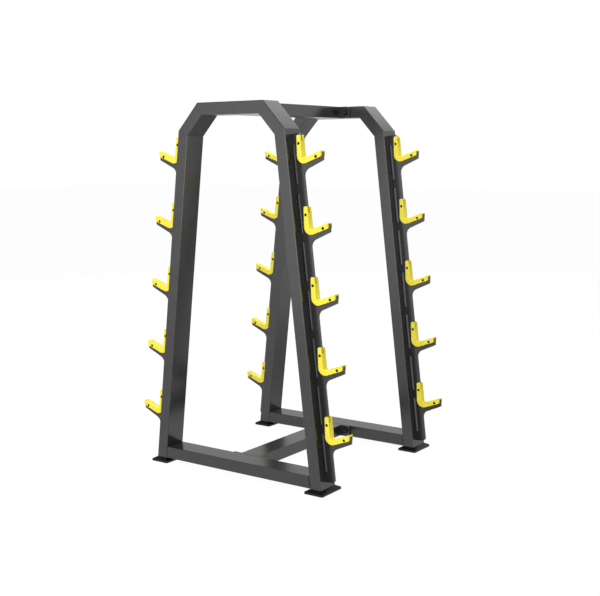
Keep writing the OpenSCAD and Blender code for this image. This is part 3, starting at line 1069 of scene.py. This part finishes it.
@dataclass
class HookPlates:
    """The plates that the hooks are cut from, and the lines that the liners share with them.

    Lengths are in metres and angles in degrees. Hook points are [out, up] from the leg screw.
    """

    layout: Layout
    thickness: float = 10.0 * MM
    strip_w: float = 37.0 * MM
    plate_rise: float = 23.0 * MM
    plate_over: float = 36.0 * MM
    slot_count: int = 7
    slot_w: float = 6.0 * MM
    tab_l: float = 35.0 * MM
    lower_tab_l: float = 39.0 * MM
    upper_tab_l: float = 40.0 * MM
    slot_r: float = 3.0 * MM
    strip_r: float = 10.0 * MM
    screw_out: float = 32.0 * MM
    leg_rise: float = 32.0 * MM
    leg_cover: float = 5.0 * MM
    arm_cover: float = 6.0 * MM
    cradle_drop: float = 57.4 * MM
    arm_rise: float = 20.2
    arm_reach: float = 105.5 * MM
    arm_end_drop: float = 62.4 * MM
    under_rise: float = 24.3
    under_fillet: float = 30.0 * MM
    root_fillet: float = 4.0 * MM
    tip_r: float = 4.0 * MM
    lip_r: float = 2.0 * MM
    tab_corner_r: float = 1.0 * MM
    edge: float = 0.8 * MM
    steps: int = 9

    def __post_init__(self) -> None:
        """Works out the lines of one hook and the places of all five."""
        lay = self.layout
        self.arm_dir = turned(math.radians(self.arm_rise))
        self.arm_down = pair(self.arm_dir[1], -self.arm_dir[0])
        self.strip_front = pair(-self.screw_out, 0) + self.strip_w * lay.edge_out
        self.leg_face = self.strip_front + self.leg_cover * lay.edge_out
        self.cradle = meet(self.leg_face, lay.edge_dir, pair(0, -self.cradle_drop), pair(1, 0))
        self.steel_top = self.cradle + self.arm_cover * self.arm_down
        self.root_top = meet(self.strip_front, lay.edge_dir, self.steel_top, self.arm_dir)
        heights = lay.liner_tops - self.leg_rise
        outs = lay.foot_top[0] + (heights - lay.foot_top[1]) * lay.edge_dir[0] / lay.edge_dir[1]
        self.screws = np.stack([outs + self.screw_out, heights], axis=1)

    def outline(self) -> Outline:
        """Outline of a whole plate: up the outer side by way of the arms, and down the slots.

        Returns:
            The outline, in the plane of the side frame.
        """
        lay = self.layout
        end_up = pair(0, 1)
        tip_top = meet(pair(self.arm_reach, 0), end_up, self.steel_top, self.arm_dir)
        tip_low = pair(self.arm_reach, -self.arm_end_drop)
        under = turned(math.radians(self.under_rise))
        root_low = meet(self.strip_front, lay.edge_dir, tip_low, under)
        arm = np.stack([root_low, tip_low, tip_top, self.root_top])
        arm_r = [self.under_fillet, self.tip_r, self.lip_r, self.root_fillet]
        arms = (self.screws[:, None] + arm).reshape(-1, 2)
        top = (self.screws[-1, 1] - lay.foot_top[1]) / lay.edge_dir[1] + self.plate_over
        room = top - self.plate_rise - self.lower_tab_l - self.upper_tab_l
        slot_l = (room - (self.slot_count - 1) * self.tab_l) / self.slot_count
        highs = top - self.upper_tab_l - np.arange(self.slot_count) * (slot_l + self.tab_l)
        rises = np.stack([highs, highs, highs - slot_l, highs - slot_l], axis=1)
        slots = lay.along(rises, np.array([0, self.slot_w, self.slot_w, 0])).reshape(-1, 2)
        slot_r = [self.tab_corner_r, self.slot_r, self.slot_r, self.tab_corner_r]
        foot = lay.along(self.plate_rise, np.array([0, self.strip_w]))
        head = lay.along(top, np.array([self.strip_w, 0]))
        corners = np.concatenate([foot, arms, head, slots])
        ends = [self.tab_corner_r, self.strip_r]
        radii = np.array([*ends, *arm_r * HOOKS, *ends[::-1], *slot_r * self.slot_count])
        return Outline.rounded(corners, radii, self.steps)

    def build(self, shop: Workshop) -> None:
        """Makes the four plates.

        Args:
            shop: What finishes the pieces.
        """
        surface = Surface()
        x = self.layout.frame_x
        half = self.thickness / 2
        rounded_plate(surface, Axis.SIDE, self.outline(), x - half, x + half, self.edge)
        shop.four(surface, "hook_steel", POWDER_COAT, "hook_plate")


@dataclass
class Liners:
    """The moulded liners, astride the strip and the arm of each hook."""

    plates: HookPlates
    width: float = 29.0 * MM
    gap: float = 0.2 * MM
    slit_rise: float = 7.0 * MM
    leg_back: float = 8.6 * MM
    leg_back_lean: float = 1.8
    cheek_depth: float = 20.5 * MM
    cheek_reach: float = 101.6 * MM
    heel_r: float = 30.0 * MM
    cradle_r: float = 8.0 * MM
    leg_r: float = 6.0 * MM
    toe_r: float = 6.0 * MM
    lip_r: float = 2.0 * MM
    edge: float = 1.2 * MM
    recess_d: float = 12.0 * MM
    recess_depth: float = 6.5 * MM
    arm_screw_out: float = 78.5 * MM
    arm_screw_depth: float = 13.0 * MM
    seat_ease: float = 1.0 * MM
    steps: int = 10
    edge_points: int = 5
    recess_steps: int = 28

    def __post_init__(self) -> None:
        """Places the two screws of a liner."""
        hook = self.plates
        above = meet(pair(self.arm_screw_out, 0), pair(0, 1), hook.cradle, hook.arm_dir)
        arm_screw = above - pair(0, self.arm_screw_depth / hook.arm_dir[0])
        self.screws = np.stack([pair(0, 0), arm_screw])

    def surface(self) -> Surface:
        """Makes one liner round its leg screw, at the middle plane of its plate.

        The cheeks' outline is one loop. Between the points a, where the slit ends on the leg, and
        b, where the steel arm's upper edge meets the liner's end, it bounds the bridge over the
        steel, which runs through from cheek to cheek. The rest bounds the two cheeks only. The
        cheek's edge at angle t is drawn in by e (1 - cos t), and stands e sin t above its wall.

        Returns:
            The closed surface.
        """
        hook, lay = self.plates, self.plates.layout
        level, upright = pair(1, 0), pair(0, 1)
        lean = math.radians(self.leg_back_lean)
        back_dir = pair(-math.sin(lean), math.cos(lean))
        back = pair(-self.leg_back, 0)
        low = hook.cradle + self.cheek_depth * hook.arm_down
        end = pair(self.cheek_reach, 0)
        top = pair(0, hook.leg_rise)
        corners = [
            meet(back, back_dir, low, hook.arm_dir),
            meet(end, upright, low, hook.arm_dir),
            meet(end, upright, hook.cradle, hook.arm_dir),
            hook.cradle,
            meet(hook.leg_face, lay.edge_dir, top, level),
            meet(back, back_dir, top, level),
        ]
        radii = np.array([self.heel_r, self.toe_r, self.lip_r, self.cradle_r, self.leg_r, self.leg_r])
        cheek = Outline.rounded(np.stack(corners), radii, self.steps)
        a = meet(hook.leg_face, lay.edge_dir, pair(0, self.slit_rise), level)
        b = meet(end, upright, hook.steel_top, hook.arm_dir)
        arc = self.steps + 1
        cheek = Outline(
            np.insert(cheek.points, [2 * arc, 4 * arc], [b, a], axis=0),
            np.insert(cheek.normals, [2 * arc, 4 * arc], [pair(1, 0), lay.edge_out], axis=0),
        )
        at_b, at_a = 2 * arc, 4 * arc + 1
        bridge = slice(at_b, at_a + 1)
        rest = np.r_[at_a : len(cheek.points), 0 : at_b + 1]
        slit_end = meet(hook.strip_front, lay.edge_dir, pair(0, self.slit_rise), level)
        seat_r = np.full(3, hook.root_fillet + self.seat_ease)
        turn = Outline.rounded(np.stack([b, hook.root_top, slit_end]), seat_r, self.steps)
        bend = slice(arc, 2 * arc)
        seat = np.concatenate([[b], turn.points[bend], [slit_end]])
        seat_normals = np.concatenate([[hook.arm_down], -turn.normals[bend], [-lay.edge_out]])
        surface = Surface()
        place = Axis.SIDE.place
        half, slot = self.width / 2, hook.thickness / 2 + self.gap
        wall = half - self.edge
        recesses = [Outline.circle(screw, self.recess_d / 2, self.recess_steps) for screw in self.screws]
        quarter = np.linspace(0, np.pi / 2, self.edge_points)[:, None]
        rim = cheek.inset((self.edge * (1 - np.cos(quarter)))[..., None])
        loops = [cheek.inset(self.edge)] + [recess.points for recess in recesses]
        cheek_side = np.concatenate([cheek.points[rest], seat[1:]])
        for sign in (-1, 1):
            rim_normals = place(cheek.normals[None] * np.cos(quarter)[..., None], sign * np.sin(quarter))
            rim_x = sign * (wall + self.edge * np.sin(quarter))
            surface.grid(place(rim, rim_x), rim_normals, np.sin(2 * quarter), closed=True)
            surface.fill([place(loop, sign * half) for loop in loops], sign * Axis.SIDE.up)
            for recess in recesses:
                blind_pocket(surface, Axis.SIDE, recess, sign * half, sign * (half - self.recess_depth))
            surface.wall(Axis.SIDE, cheek.points[rest], cheek.normals[rest], (sign * slot, sign * wall))
            surface.fill([place(cheek_side, sign * slot)], -sign * Axis.SIDE.up)
        surface.wall(Axis.SIDE, cheek.points[bridge], cheek.normals[bridge], (-wall, -slot, slot, wall))
        surface.wall(Axis.SIDE, seat, seat_normals, (-slot, slot))
        surface.wall(Axis.SIDE, np.stack([slit_end, a]), upright[None], (-slot, slot))
        return surface

    def build(self, shop: Workshop) -> None:
        """Makes all twenty liners.

        Args:
            shop: What finishes the pieces.
        """
        one = self.surface()
        for number, screw in enumerate(self.plates.screws, start=1):
            surface = Surface()
            surface.add(one, np.eye(3), Axis.SIDE.place(screw, self.plates.layout.frame_x))
            shop.four(surface, f"liner_moulding_{number}", LINER_YELLOW, f"liner_{number}")


def hexagon_face(flats: float, steps: int) -> tuple[np.ndarray, np.ndarray]:
    """One side of a hexagon.

    Its points are at (flats / 2, (flats / 2) tan t), with t from -30 to 30 degrees.

    Args:
        flats: Distance across the flats.
        steps: Number of chords along the side.

    Returns:
        The points, shape (steps + 1, 2), and their distances from the middle.
    """
    angle = np.linspace(-np.pi / 6, np.pi / 6, steps + 1)
    points = np.stack([np.full_like(angle, flats / 2), flats / 2 * np.tan(angle)], axis=1)
    return points, flats / 2 / np.cos(angle)


@dataclass(frozen=True)
class HexBar:
    """A hexagonal head or nut with a turned chamfer on its upper end, and a bore if it is a nut.

    It stands along +Z with its lower face at 0.

    Attributes:
        flats: Distance across the flats.
        height: Height of the bar.
        bore_r: Radius of its bore, or 0 for none.
        land: Radius of the circle in which the chamfer meets the top, as a share of flats / 2.
        slant: Angle of the chamfer below the top, in degrees.
        steps: Number of chords along each side.
    """

    flats: float
    height: float
    bore_r: float = 0.0
    land: float = 0.95
    slant: float = 30.0
    steps: int = 6

    def surface(self) -> Surface:
        """Makes the bar, whose chamfer is a cone.

        Returns:
            The closed surface.
        """
        surface = Surface()
        place = Axis.FLAT.place
        side, reach = hexagon_face(self.flats, self.steps)
        circle_r = self.flats / 2 * self.land
        slant = math.radians(self.slant)
        shoulder = self.height - (reach - circle_r) * math.tan(slant)
        tops, bottoms = [], []
        for turn in SIXTHS:
            wall, ring = spun(side, turn), spun(unit(side) * circle_r, turn)
            low, high, lip = place(wall, 0.0), place(wall, shoulder), place(ring, self.height)
            surface.grid(np.stack([low, high]), place(turned(turn), 0.0))
            cone = place(unit(ring) * math.sin(slant), math.cos(slant))
            surface.grid(np.stack([high, lip]), cone, 1.0)
            tops.append(lip[:-1])
            bottoms.append(low[:-1])
        tops, bottoms = [np.concatenate(tops)], [np.concatenate(bottoms)]
        if self.bore_r:
            bore = Outline.circle(pair(0, 0), self.bore_r)
            tops.append(place(bore.points, self.height))
            bottoms.append(place(bore.points, 0.0))
            surface.wall(Axis.FLAT, bore.points, -bore.normals, (0.0, self.height), closed=True)
        surface.fill(tops, Axis.FLAT.up)
        surface.fill(bottoms, -Axis.FLAT.up)
        return surface


def shank(surface: Surface, radius: float, low: float, high: float, chamfer: float) -> None:
    """Adds a screw's shank along Z, closed at both ends, with a chamfer at its lower end.

    Args:
        surface: The surface that takes the patches.
        radius: Radius of the shank.
        low: Height of its lower end.
        high: Height of its upper end.
        chamfer: Width and height of the chamfer.
    """
    ring = Outline.circle(pair(0, 0), radius)
    place = Axis.FLAT.place
    tip, foot = place(ring.inset(chamfer), low), place(ring.points, low + chamfer)
    surface.grid(np.stack([tip, foot]), unit(place(ring.normals, -1.0)), closed=True)
    surface.wall(Axis.FLAT, ring.points, ring.normals, (low + chamfer, high), closed=True)
    surface.fill([tip], -Axis.FLAT.up)
    surface.fill([place(ring.points, high)], Axis.FLAT.up)


def facing_x(sign: float) -> np.ndarray:
    """Matrix that turns Z to X, outwards for sign 1 and inwards for sign -1."""
    return np.array([[0, 0, sign], [0, 1, 0], [-sign, 0, 0]], float)


@dataclass
class LinerFasteners:
    """The socket-head screws and nuts that hold the liners."""

    liners: Liners
    head_d: float = 10.0 * MM
    head_h: float = 6.0 * MM
    head_edge: float = 0.5 * MM
    socket_flats: float = 4.8 * MM
    socket_depth: float = 3.0 * MM
    shank_d: float = 6.0 * MM
    nut_flats: float = 10.0 * MM
    nut_h: float = 5.0 * MM
    tail: float = 1.0 * MM
    tip_chamfer: float = 0.5 * MM
    nut_gap: float = 0.05 * MM
    head_steps: int = 36
    edge_points: int = 4

    def screw(self) -> Surface:
        """Makes a screw along Z, with the underside of its head at 0.

        The rounded rim of its head is drawn in by e (1 - cos t) at the height h - e + e sin t.

        Returns:
            The closed surface.
        """
        surface = Surface()
        place, up = Axis.FLAT.place, Axis.FLAT.up
        outline = Outline.circle(pair(0, 0), self.head_d / 2, self.head_steps)
        side, _ = hexagon_face(self.socket_flats, 1)
        hexagon = np.stack([spun(side[0], turn) for turn in SIXTHS])
        quarter = np.linspace(0, np.pi / 2, self.edge_points)
        e = self.head_edge
        heights = np.append(0.0, self.head_h - e + e * np.sin(quarter))
        rows = outline.inset(np.append(0.0, e * (1 - np.cos(quarter)))[:, None, None])
        tilt = np.append(0.0, quarter)[:, None]
        normals = place(outline.normals[None] * np.cos(tilt)[..., None], np.sin(tilt))
        surface.grid(place(rows, heights[:, None]), normals, np.sin(2 * tilt), closed=True)
        floor = self.head_h - self.socket_depth
        surface.fill([place(outline.inset(e), self.head_h), place(hexagon, self.head_h)], up)
        surface.fill([place(outline.points, 0.0)], -up)
        surface.fill([place(hexagon, floor)], up)
        for edge in np.stack([hexagon, np.roll(hexagon, -1, axis=0)], axis=1):
            surface.wall(Axis.FLAT, edge, -unit(edge.sum(axis=0))[None], (floor, self.head_h))
        grip = self.liners.width - 2 * self.liners.recess_depth
        shank(surface, self.shank_d / 2, -grip - self.nut_h - self.tail, 0.0, self.tip_chamfer)
        return surface

    def build(self, shop: Workshop) -> None:
        """Makes the ten screws and ten nuts of each plate.

        Args:
            shop: What finishes the pieces.
        """
        liners, plates = self.liners, self.liners.plates
        seat = liners.width / 2 - liners.recess_depth
        x = plates.layout.frame_x
        screw = self.screw()
        nut = HexBar(self.nut_flats, self.nut_h, self.shank_d / 2 + self.nut_gap).surface()
        screws, nuts = Surface(), Surface()
        for spot in (plates.screws[:, None] + liners.screws).reshape(-1, 2):
            screws.add(screw, facing_x(1), Axis.SIDE.place(spot, x + seat))
            nuts.add(nut, facing_x(-1), Axis.SIDE.place(spot, x - seat))
        shop.four(screws, "socket_screws", BLACK_STEEL, "liner_screws")
        shop.four(nuts, "hex_nuts", BLACK_STEEL, "liner_nuts")


@dataclass
class BeamJoints:
    """The flange plates at the beams' ends, with their bolts and washers."""

    layout: Layout
    flange_l: float = 190.0 * MM
    flange_t: float = 10.0 * MM
    flange_r: float = 12.0 * MM
    flange_edge: float = 1.0 * MM
    bolt_inset: float = 20.0 * MM
    bolt_d: float = 12.0 * MM
    hole_d: float = 13.0 * MM
    head_flats: float = 18.0 * MM
    head_h: float = 7.5 * MM
    washer_d: float = 24.0 * MM
    washer_t: float = 2.5 * MM
    wall: float = 3.0 * MM
    weld_nut_h: float = 10.0 * MM
    tail: float = 3.0 * MM
    thread_chamfer: float = 1.0 * MM
    washer_edge: float = 0.3 * MM
    washer_steps: int = 48
    hole_steps: int = 32

    def build(self, shop: Workshop) -> None:
        """Makes the flanges, bolts and washers, and finishes the weld nuts in the tubes.

        Args:
            shop: What finishes the pieces.
        """
        lay = self.layout
        hole = Outline.circle(pair(0, 0), self.hole_d / 2, self.hole_steps)
        bolt_y = self.flange_l / 2 - self.bolt_inset
        for level in Level:
            middle = pair(0, lay.beam_z(level))
            outline = Outline.rectangle(self.flange_l, lay.tube_w, self.flange_r).shifted(middle)
            holes = [hole.shifted(middle + pair(y, 0)) for y in (-bolt_y, bolt_y)]
            flange = Surface()
            outer = lay.beam_x + self.flange_t
            rounded_plate(flange, Axis.SIDE, outline, lay.beam_x, outer, self.flange_edge, holes)
            for side in Side:
                name = f"{side.name.lower()}_{level.value}"
                shop.piece(flange, f"{name}_flange_steel", POWDER_COAT, f"{name}_flange", side)
        washer, bolt = Surface(), Surface()
        disc = Outline.circle(pair(0, 0), self.washer_d / 2, self.washer_steps)
        rounded_plate(washer, Axis.FLAT, disc, 0.0, self.washer_t, self.washer_edge, [hole], steps=2)
        bolt.add(HexBar(self.head_flats, self.head_h).surface(), np.eye(3), np.array([0, 0, self.washer_t]))
        grip = self.flange_t + self.wall + self.weld_nut_h + self.tail
        shank(bolt, self.bolt_d / 2, -grip, self.washer_t, self.thread_chamfer)
        bolts, washers = Surface(), Surface()
        for side in Side:
            for level in Level:
                for y in (-bolt_y, bolt_y):
                    spot = np.array([side.value * lay.beam_x, y, lay.beam_z(level)])
                    bolts.add(bolt, facing_x(-side.value), spot)
                    washers.add(washer, facing_x(-side.value), spot)
        shop.piece(bolts, "hex_flange_bolts", BLACK_STEEL, "flange_bolts")
        shop.piece(washers, "flat_flange_washers", BLACK_STEEL, "flange_washers")
        shop.dress_node("flange_weld_nuts", BLACK_STEEL)


@dataclass
class Feet:
    """The flared rubber feet, with their plugs inside the uprights."""

    layout: Layout
    flare: float = 18.5 * MM
    rim: float = 8.5 * MM
    floor_edge: float = 1.2 * MM
    rim_edge: float = 2.5 * MM
    floor_r: float = 6.0 * MM
    tube_r: float = 2.5 * MM
    bore_r: float = 0.5 * MM
    wall: float = 3.0 * MM
    plug_gap: float = 0.3 * MM
    plug_l: float = 25.0 * MM
    floor_points: int = 4
    rim_points: int = 5

    def build(self, shop: Workshop) -> None:
        """Makes the four feet."""
        shop.four(self.surface(), "rubber_foot", FOOT_RUBBER, "foot")

    def surface(self) -> Surface:
        """Makes a foot, ring by ring, each a rounded rectangle round the tube's cut end.

        Ring k stands out by o_k at height z_k, and its corner radius goes from the tube's to the
        floor's with its share of the flare. The rim between the upright band and the slope is an
        arc. Above the slope the rings step in to the plug, which leans as the upright does.

        Returns:
            The closed surface.
        """
        lay = self.layout
        foot_h = lay.foot_top[1]
        lean = math.atan2(-lay.edge_dir[0], lay.edge_dir[1])
        cut_w = lay.tube_w / math.cos(lean)
        middle = np.array([lay.frame_x, lay.foot_top[0] - cut_w / 2, 0.0])
        slope = math.atan2(foot_h - self.rim, self.flare)
        angle = np.linspace(0, np.pi / 2 - slope, self.rim_points)
        bottom = np.linspace(-np.pi / 2, 0, self.floor_points)
        e, r = self.floor_edge, self.rim_edge
        lift = self.rim - r * math.tan((np.pi / 2 - slope) / 2)
        outs = self.flare - np.concatenate([e - e * np.cos(bottom), r - r * np.cos(angle), [self.flare]])
        heights = np.concatenate([e + e * np.sin(bottom), lift + r * np.sin(angle), [foot_h]])
        tilts = np.concatenate([bottom, angle, angle[-1:]])
        radii = self.tube_r + (self.floor_r - self.tube_r) * outs / self.flare
        outlines = [
            Outline.rectangle(lay.tube_d + 2 * o, cut_w + 2 * o, q) for o, q in zip(outs, radii)
        ]
        rings = np.stack([outline.points for outline in outlines])
        normals = outlines[-1].normals
        # The rim's ridge gets the lighter edge colour: rubbed wear and a painted highlight.
        wear_and_highlight = [np.zeros(self.floor_points), np.sin(angle / angle[-1] * np.pi), [0.0]]
        surface = Surface()
        place = Axis.FLAT.place
        tilt = tilts[:, None]
        leaned = place(normals[None] * np.cos(tilt)[..., None], np.sin(tilt))
        surface.grid(place(rings, heights[:, None]) + middle, leaned, np.concatenate(wear_and_highlight), closed=True)
        surface.fill([place(rings[0], 0.0) + middle], -Axis.FLAT.up)
        bore_d = lay.tube_d - 2 * (self.wall + self.plug_gap)
        bore_w = lay.tube_w - 2 * (self.wall + self.plug_gap)
        plug = Outline.rectangle(bore_d, bore_w / math.cos(lean), self.bore_r)
        up = np.array([0.0, -math.sin(lean), math.cos(lean)])
        low_ring = place(plug.points, foot_h) + middle
        high_ring = low_ring + up * self.plug_l
        surface.fill([place(rings[-1], foot_h) + middle, low_ring], Axis.FLAT.up)
        surface.grid(np.stack([low_ring, high_ring]), place(plug.normals[None], 0.0), closed=True)
        surface.fill([high_ring], Axis.FLAT.up)
        return surface


@dataclass(frozen=True)
class Lamp:
    """A square soft lamp, which the camera doesn't see.

    Attributes:
        name: The lamp's name.
        place: Where it stands.
        aim: Height of the point on the rack's axis that it faces.
        size: Its width.
        power: Its power in watts.
        in_gloss: Whether glossy surfaces mirror it.
    """

    name: str
    place: Triple
    aim: float
    size: float
    power: float
    in_gloss: bool = True

    def build(self) -> None:
        """Adds the lamp."""
        data = bpy.data.lights.new(self.name, "AREA")
        data.size = self.size
        data.energy = self.power
        made = added(self.name, data)
        made.location = self.place
        made.rotation_mode = "QUATERNION"
        way = Vector((0.0, 0.0, self.aim)) - Vector(self.place)
        made.rotation_quaternion = way.to_track_quat("-Z", "Y")
        made.visible_camera = False
        made.visible_glossy = self.in_gloss


LAMPS = (
    Lamp("top_lamp", (0.0, 0.0, 4.5), aim=0.8, size=4.0, power=120.0, in_gloss=False),
    Lamp("left_lamp", (-5.2, -1.2, 1.9), aim=0.8, size=3.8, power=185.0),
    Lamp("right_lamp", (3.4, 0.9, 3.7), aim=1.4, size=2.4, power=28.0),
    Lamp("far_lamp", (-4.2, 1.7, 1.3), aim=0.9, size=3.0, power=14.0),
    Lamp("back_lamp", (4.5, 4.5, 2.6), aim=0.8, size=3.0, power=170.0, in_gloss=False),
)


@dataclass
class Studio:
    """Floor, lamps, world and camera.

    Attributes:
        camera_place: The camera's place. This, its angles and its focal length are those that
            the photograph's edges give.
        yaw: Its direction from the X axis, in degrees.
        pitch: Its tilt upwards, in degrees.
        roll: Its turn about its line of sight, in degrees.
        focal_pixels: Its focal length in the image's pixels.
        image_width: Width of the image in pixels.
        sensor: Width of its sensor in millimetres.
        clip: Nearest and farthest distance that it sees.
        floor_size: Width of the floor.
        floor_grey: Colour of the floor where lamps light it.
        floor_glow: Brightness of the plain white that the camera sees in its place.
        glow_seen: Share of that white. The rest is the lit floor, with the rack's shadow.
        floor_gloss: Brightness of the floor in the gloss.
        patch: Middle of a darker patch that the gloss has in the floor.
        patch_reach: Distances from there over which the patch fades.
        patch_gloss: Brightness of the patch's middle.
        sky: Strength of the light from all round.
        walls: Brightness of the walls in the gloss, just above the floor.
        rise_power: How their darkening goes with height.
        dark_side: Direction in which they are darker.
        side_swing: How much darker they are there, and lighter on the other side.
    """

    camera_place: Triple = (-3.6128, -2.6013, 1.3056)
    yaw: float = 35.339
    pitch: float = -7.894
    roll: float = -0.375
    focal_pixels: float = 1042.94
    image_width: float = 600.0
    sensor: float = 36.0
    clip: tuple[float, float] = (0.05, 200.0)
    floor_size: float = 60.0
    floor_grey: float = 0.45
    floor_glow: float = 1.075
    glow_seen: float = 0.9
    floor_gloss: float = 0.79
    patch: Triple = (1.5, 0.3, 0.0)
    patch_reach: tuple[float, float] = (0.4, 1.4)
    patch_gloss: float = 0.33
    sky: float = 0.35
    walls: float = 0.97
    rise_power: float = 0.9
    dark_side: Triple = (-0.6, 0.8, 0.0)
    side_swing: float = 0.12

    def camera(self) -> None:
        """Sets the camera at the photograph's place, turned by yaw, pitch and roll."""
        yaw, pitch, roll = (math.radians(angle) for angle in (self.yaw, self.pitch, self.roll))
        flat = math.cos(pitch)
        ahead = Vector((math.cos(yaw) * flat, math.sin(yaw) * flat, math.sin(pitch)))
        level = ahead.cross(Vector((0, 0, 1))).normalized()
        upward = level.cross(ahead)
        right = math.cos(roll) * level + math.sin(roll) * upward
        up = math.cos(roll) * upward - math.sin(roll) * level
        data = bpy.data.cameras.new("camera")
        data.sensor_width = self.sensor
        data.lens = self.sensor * self.focal_pixels / self.image_width
        data.clip_start, data.clip_end = self.clip
        made = added("camera", data)
        turn = Matrix((right, up, -ahead)).transposed().to_4x4()
        made.matrix_world = Matrix.Translation(self.camera_place) @ turn
        bpy.context.scene.camera = made

    @staticmethod
    def seen(pad: NodePad, camera: float, mirrored: Socket | float) -> Socket:
        """Share of a plain white look, for camera rays and for glossy and transmission rays.

        Args:
            pad: The material's or the world's nodes.
            camera: Share in what the camera sees directly.
            mirrored: Share in what is seen in gloss or through glass.

        Returns:
            The share, which is 0 for every other ray.
        """
        path = pad.node("ShaderNodeLightPath")
        direct = pad.math("MULTIPLY", path.outputs["Is Camera Ray"], camera)
        bent = pad.math("MAXIMUM", path.outputs["Is Glossy Ray"], path.outputs["Is Transmission Ray"])
        return pad.math("MAXIMUM", direct, pad.math("MULTIPLY", bent, mirrored))

    def softbox(self, pad: NodePad) -> Socket:
        """Brightness of the studio's walls, which darken upwards and to one side.

        With z the sine of the height, and c the cosine from the dark side, it is
        walls (1 - z^rise_power) (1 - side_swing c).

        Args:
            pad: The world's nodes.

        Returns:
            The brightness.
        """
        way = pad.node("ShaderNodeTexCoord").outputs["Generated"]
        parts = pad.node("ShaderNodeSeparateXYZ")
        pad.link(way, parts.inputs[0])
        height = pad.math("MAXIMUM", parts.outputs["Z"], 0.0)
        fall = pad.math("SUBTRACT", 1.0, pad.math("POWER", height, self.rise_power))
        aside = pad.node("ShaderNodeVectorMath", operation="DOT_PRODUCT")
        pad.link(way, aside.inputs[0])
        aside.inputs[1].default_value = self.dark_side
        swing = pad.math("MULTIPLY", aside.outputs["Value"], self.side_swing)
        side = pad.math("SUBTRACT", 1.0, swing)
        return pad.math("MULTIPLY", pad.math("MULTIPLY", fall, self.walls), side)

    def world(self) -> None:
        """Lights all round softly, shows plain white to the camera and pale walls to the gloss."""
        made = bpy.data.worlds.new("studio")
        bpy.context.scene.world = made
        made.use_nodes = True
        pad = NodePad(made.node_tree)
        lit, mirrored, shown = (pad.node("ShaderNodeBackground") for _ in range(3))
        for layer in (lit, mirrored, shown):
            layer.inputs["Color"].default_value = (1, 1, 1, 1)
        lit.inputs["Strength"].default_value = self.sky
        shown.inputs["Strength"].default_value = 1.0
        pad.link(self.softbox(pad), mirrored.inputs["Strength"])
        inner = pad.mix(self.seen(pad, 0.0, 1.0), lit, mirrored)
        pad.show(pad.mix(self.seen(pad, 1.0, 0.0), inner, shown), "ShaderNodeOutputWorld")

    def mirrored_floor(self, pad: NodePad) -> Socket:
        """Brightness of the floor in the gloss, which dips in a patch beyond the rack.

        Args:
            pad: The floor's nodes.

        Returns:
            The brightness.
        """
        away = pad.node("ShaderNodeVectorMath", operation="DISTANCE")
        pad.link(pad.node("ShaderNodeTexCoord").outputs["Object"], away.inputs[0])
        away.inputs[1].default_value = self.patch
        return pad.span(away.outputs["Value"], *self.patch_reach, self.patch_gloss, self.floor_gloss)

    def floor(self) -> None:
        """Lays a pale floor that looks white to the camera and keeps a trace of the shadow."""
        half = self.floor_size / 2
        corners = [(-half, -half, 0), (half, -half, 0), (half, half, 0), (-half, half, 0)]
        mesh = bpy.data.meshes.new("floor")
        mesh.from_pydata(corners, [], [(0, 1, 2, 3)])
        added("floor", mesh)
        material = bpy.data.materials.new("studio_floor")
        material.use_nodes = True
        pad = NodePad(material.node_tree)
        matt = pad.node("ShaderNodeBsdfDiffuse")
        matt.inputs["Color"].default_value = (*[self.floor_grey] * 3, 1)
        glow = pad.node("ShaderNodeEmission")
        pad.link(self.seen(pad, self.floor_glow, self.mirrored_floor(pad)), glow.inputs["Strength"])
        pad.show(pad.mix(self.seen(pad, self.glow_seen, 1.0), matt, glow))
        mesh.materials.append(material)

    def build(self) -> None:
        """Sets up everything that isn't part of the rack."""
        bpy.context.scene.view_settings.view_transform = "Standard"
        self.camera()
        self.world()
        self.floor()
        for lamp in LAMPS:
            lamp.build()


def main() -> None:
    """Builds the rack and its studio."""
    logging.basicConfig(level=logging.INFO, format="%(name)s %(message)s")
    layout = Layout.from_frame()
    shop = Workshop()
    Studio().build()
    SideFrames(layout).build(shop)
    plates = HookPlates(layout)
    plates.build(shop)
    liners = Liners(plates)
    liners.build(shop)
    LinerFasteners(liners).build(shop)
    BeamJoints(layout).build(shop)
    Feet(layout).build(shop)


if __name__ == "__main__":
    main()
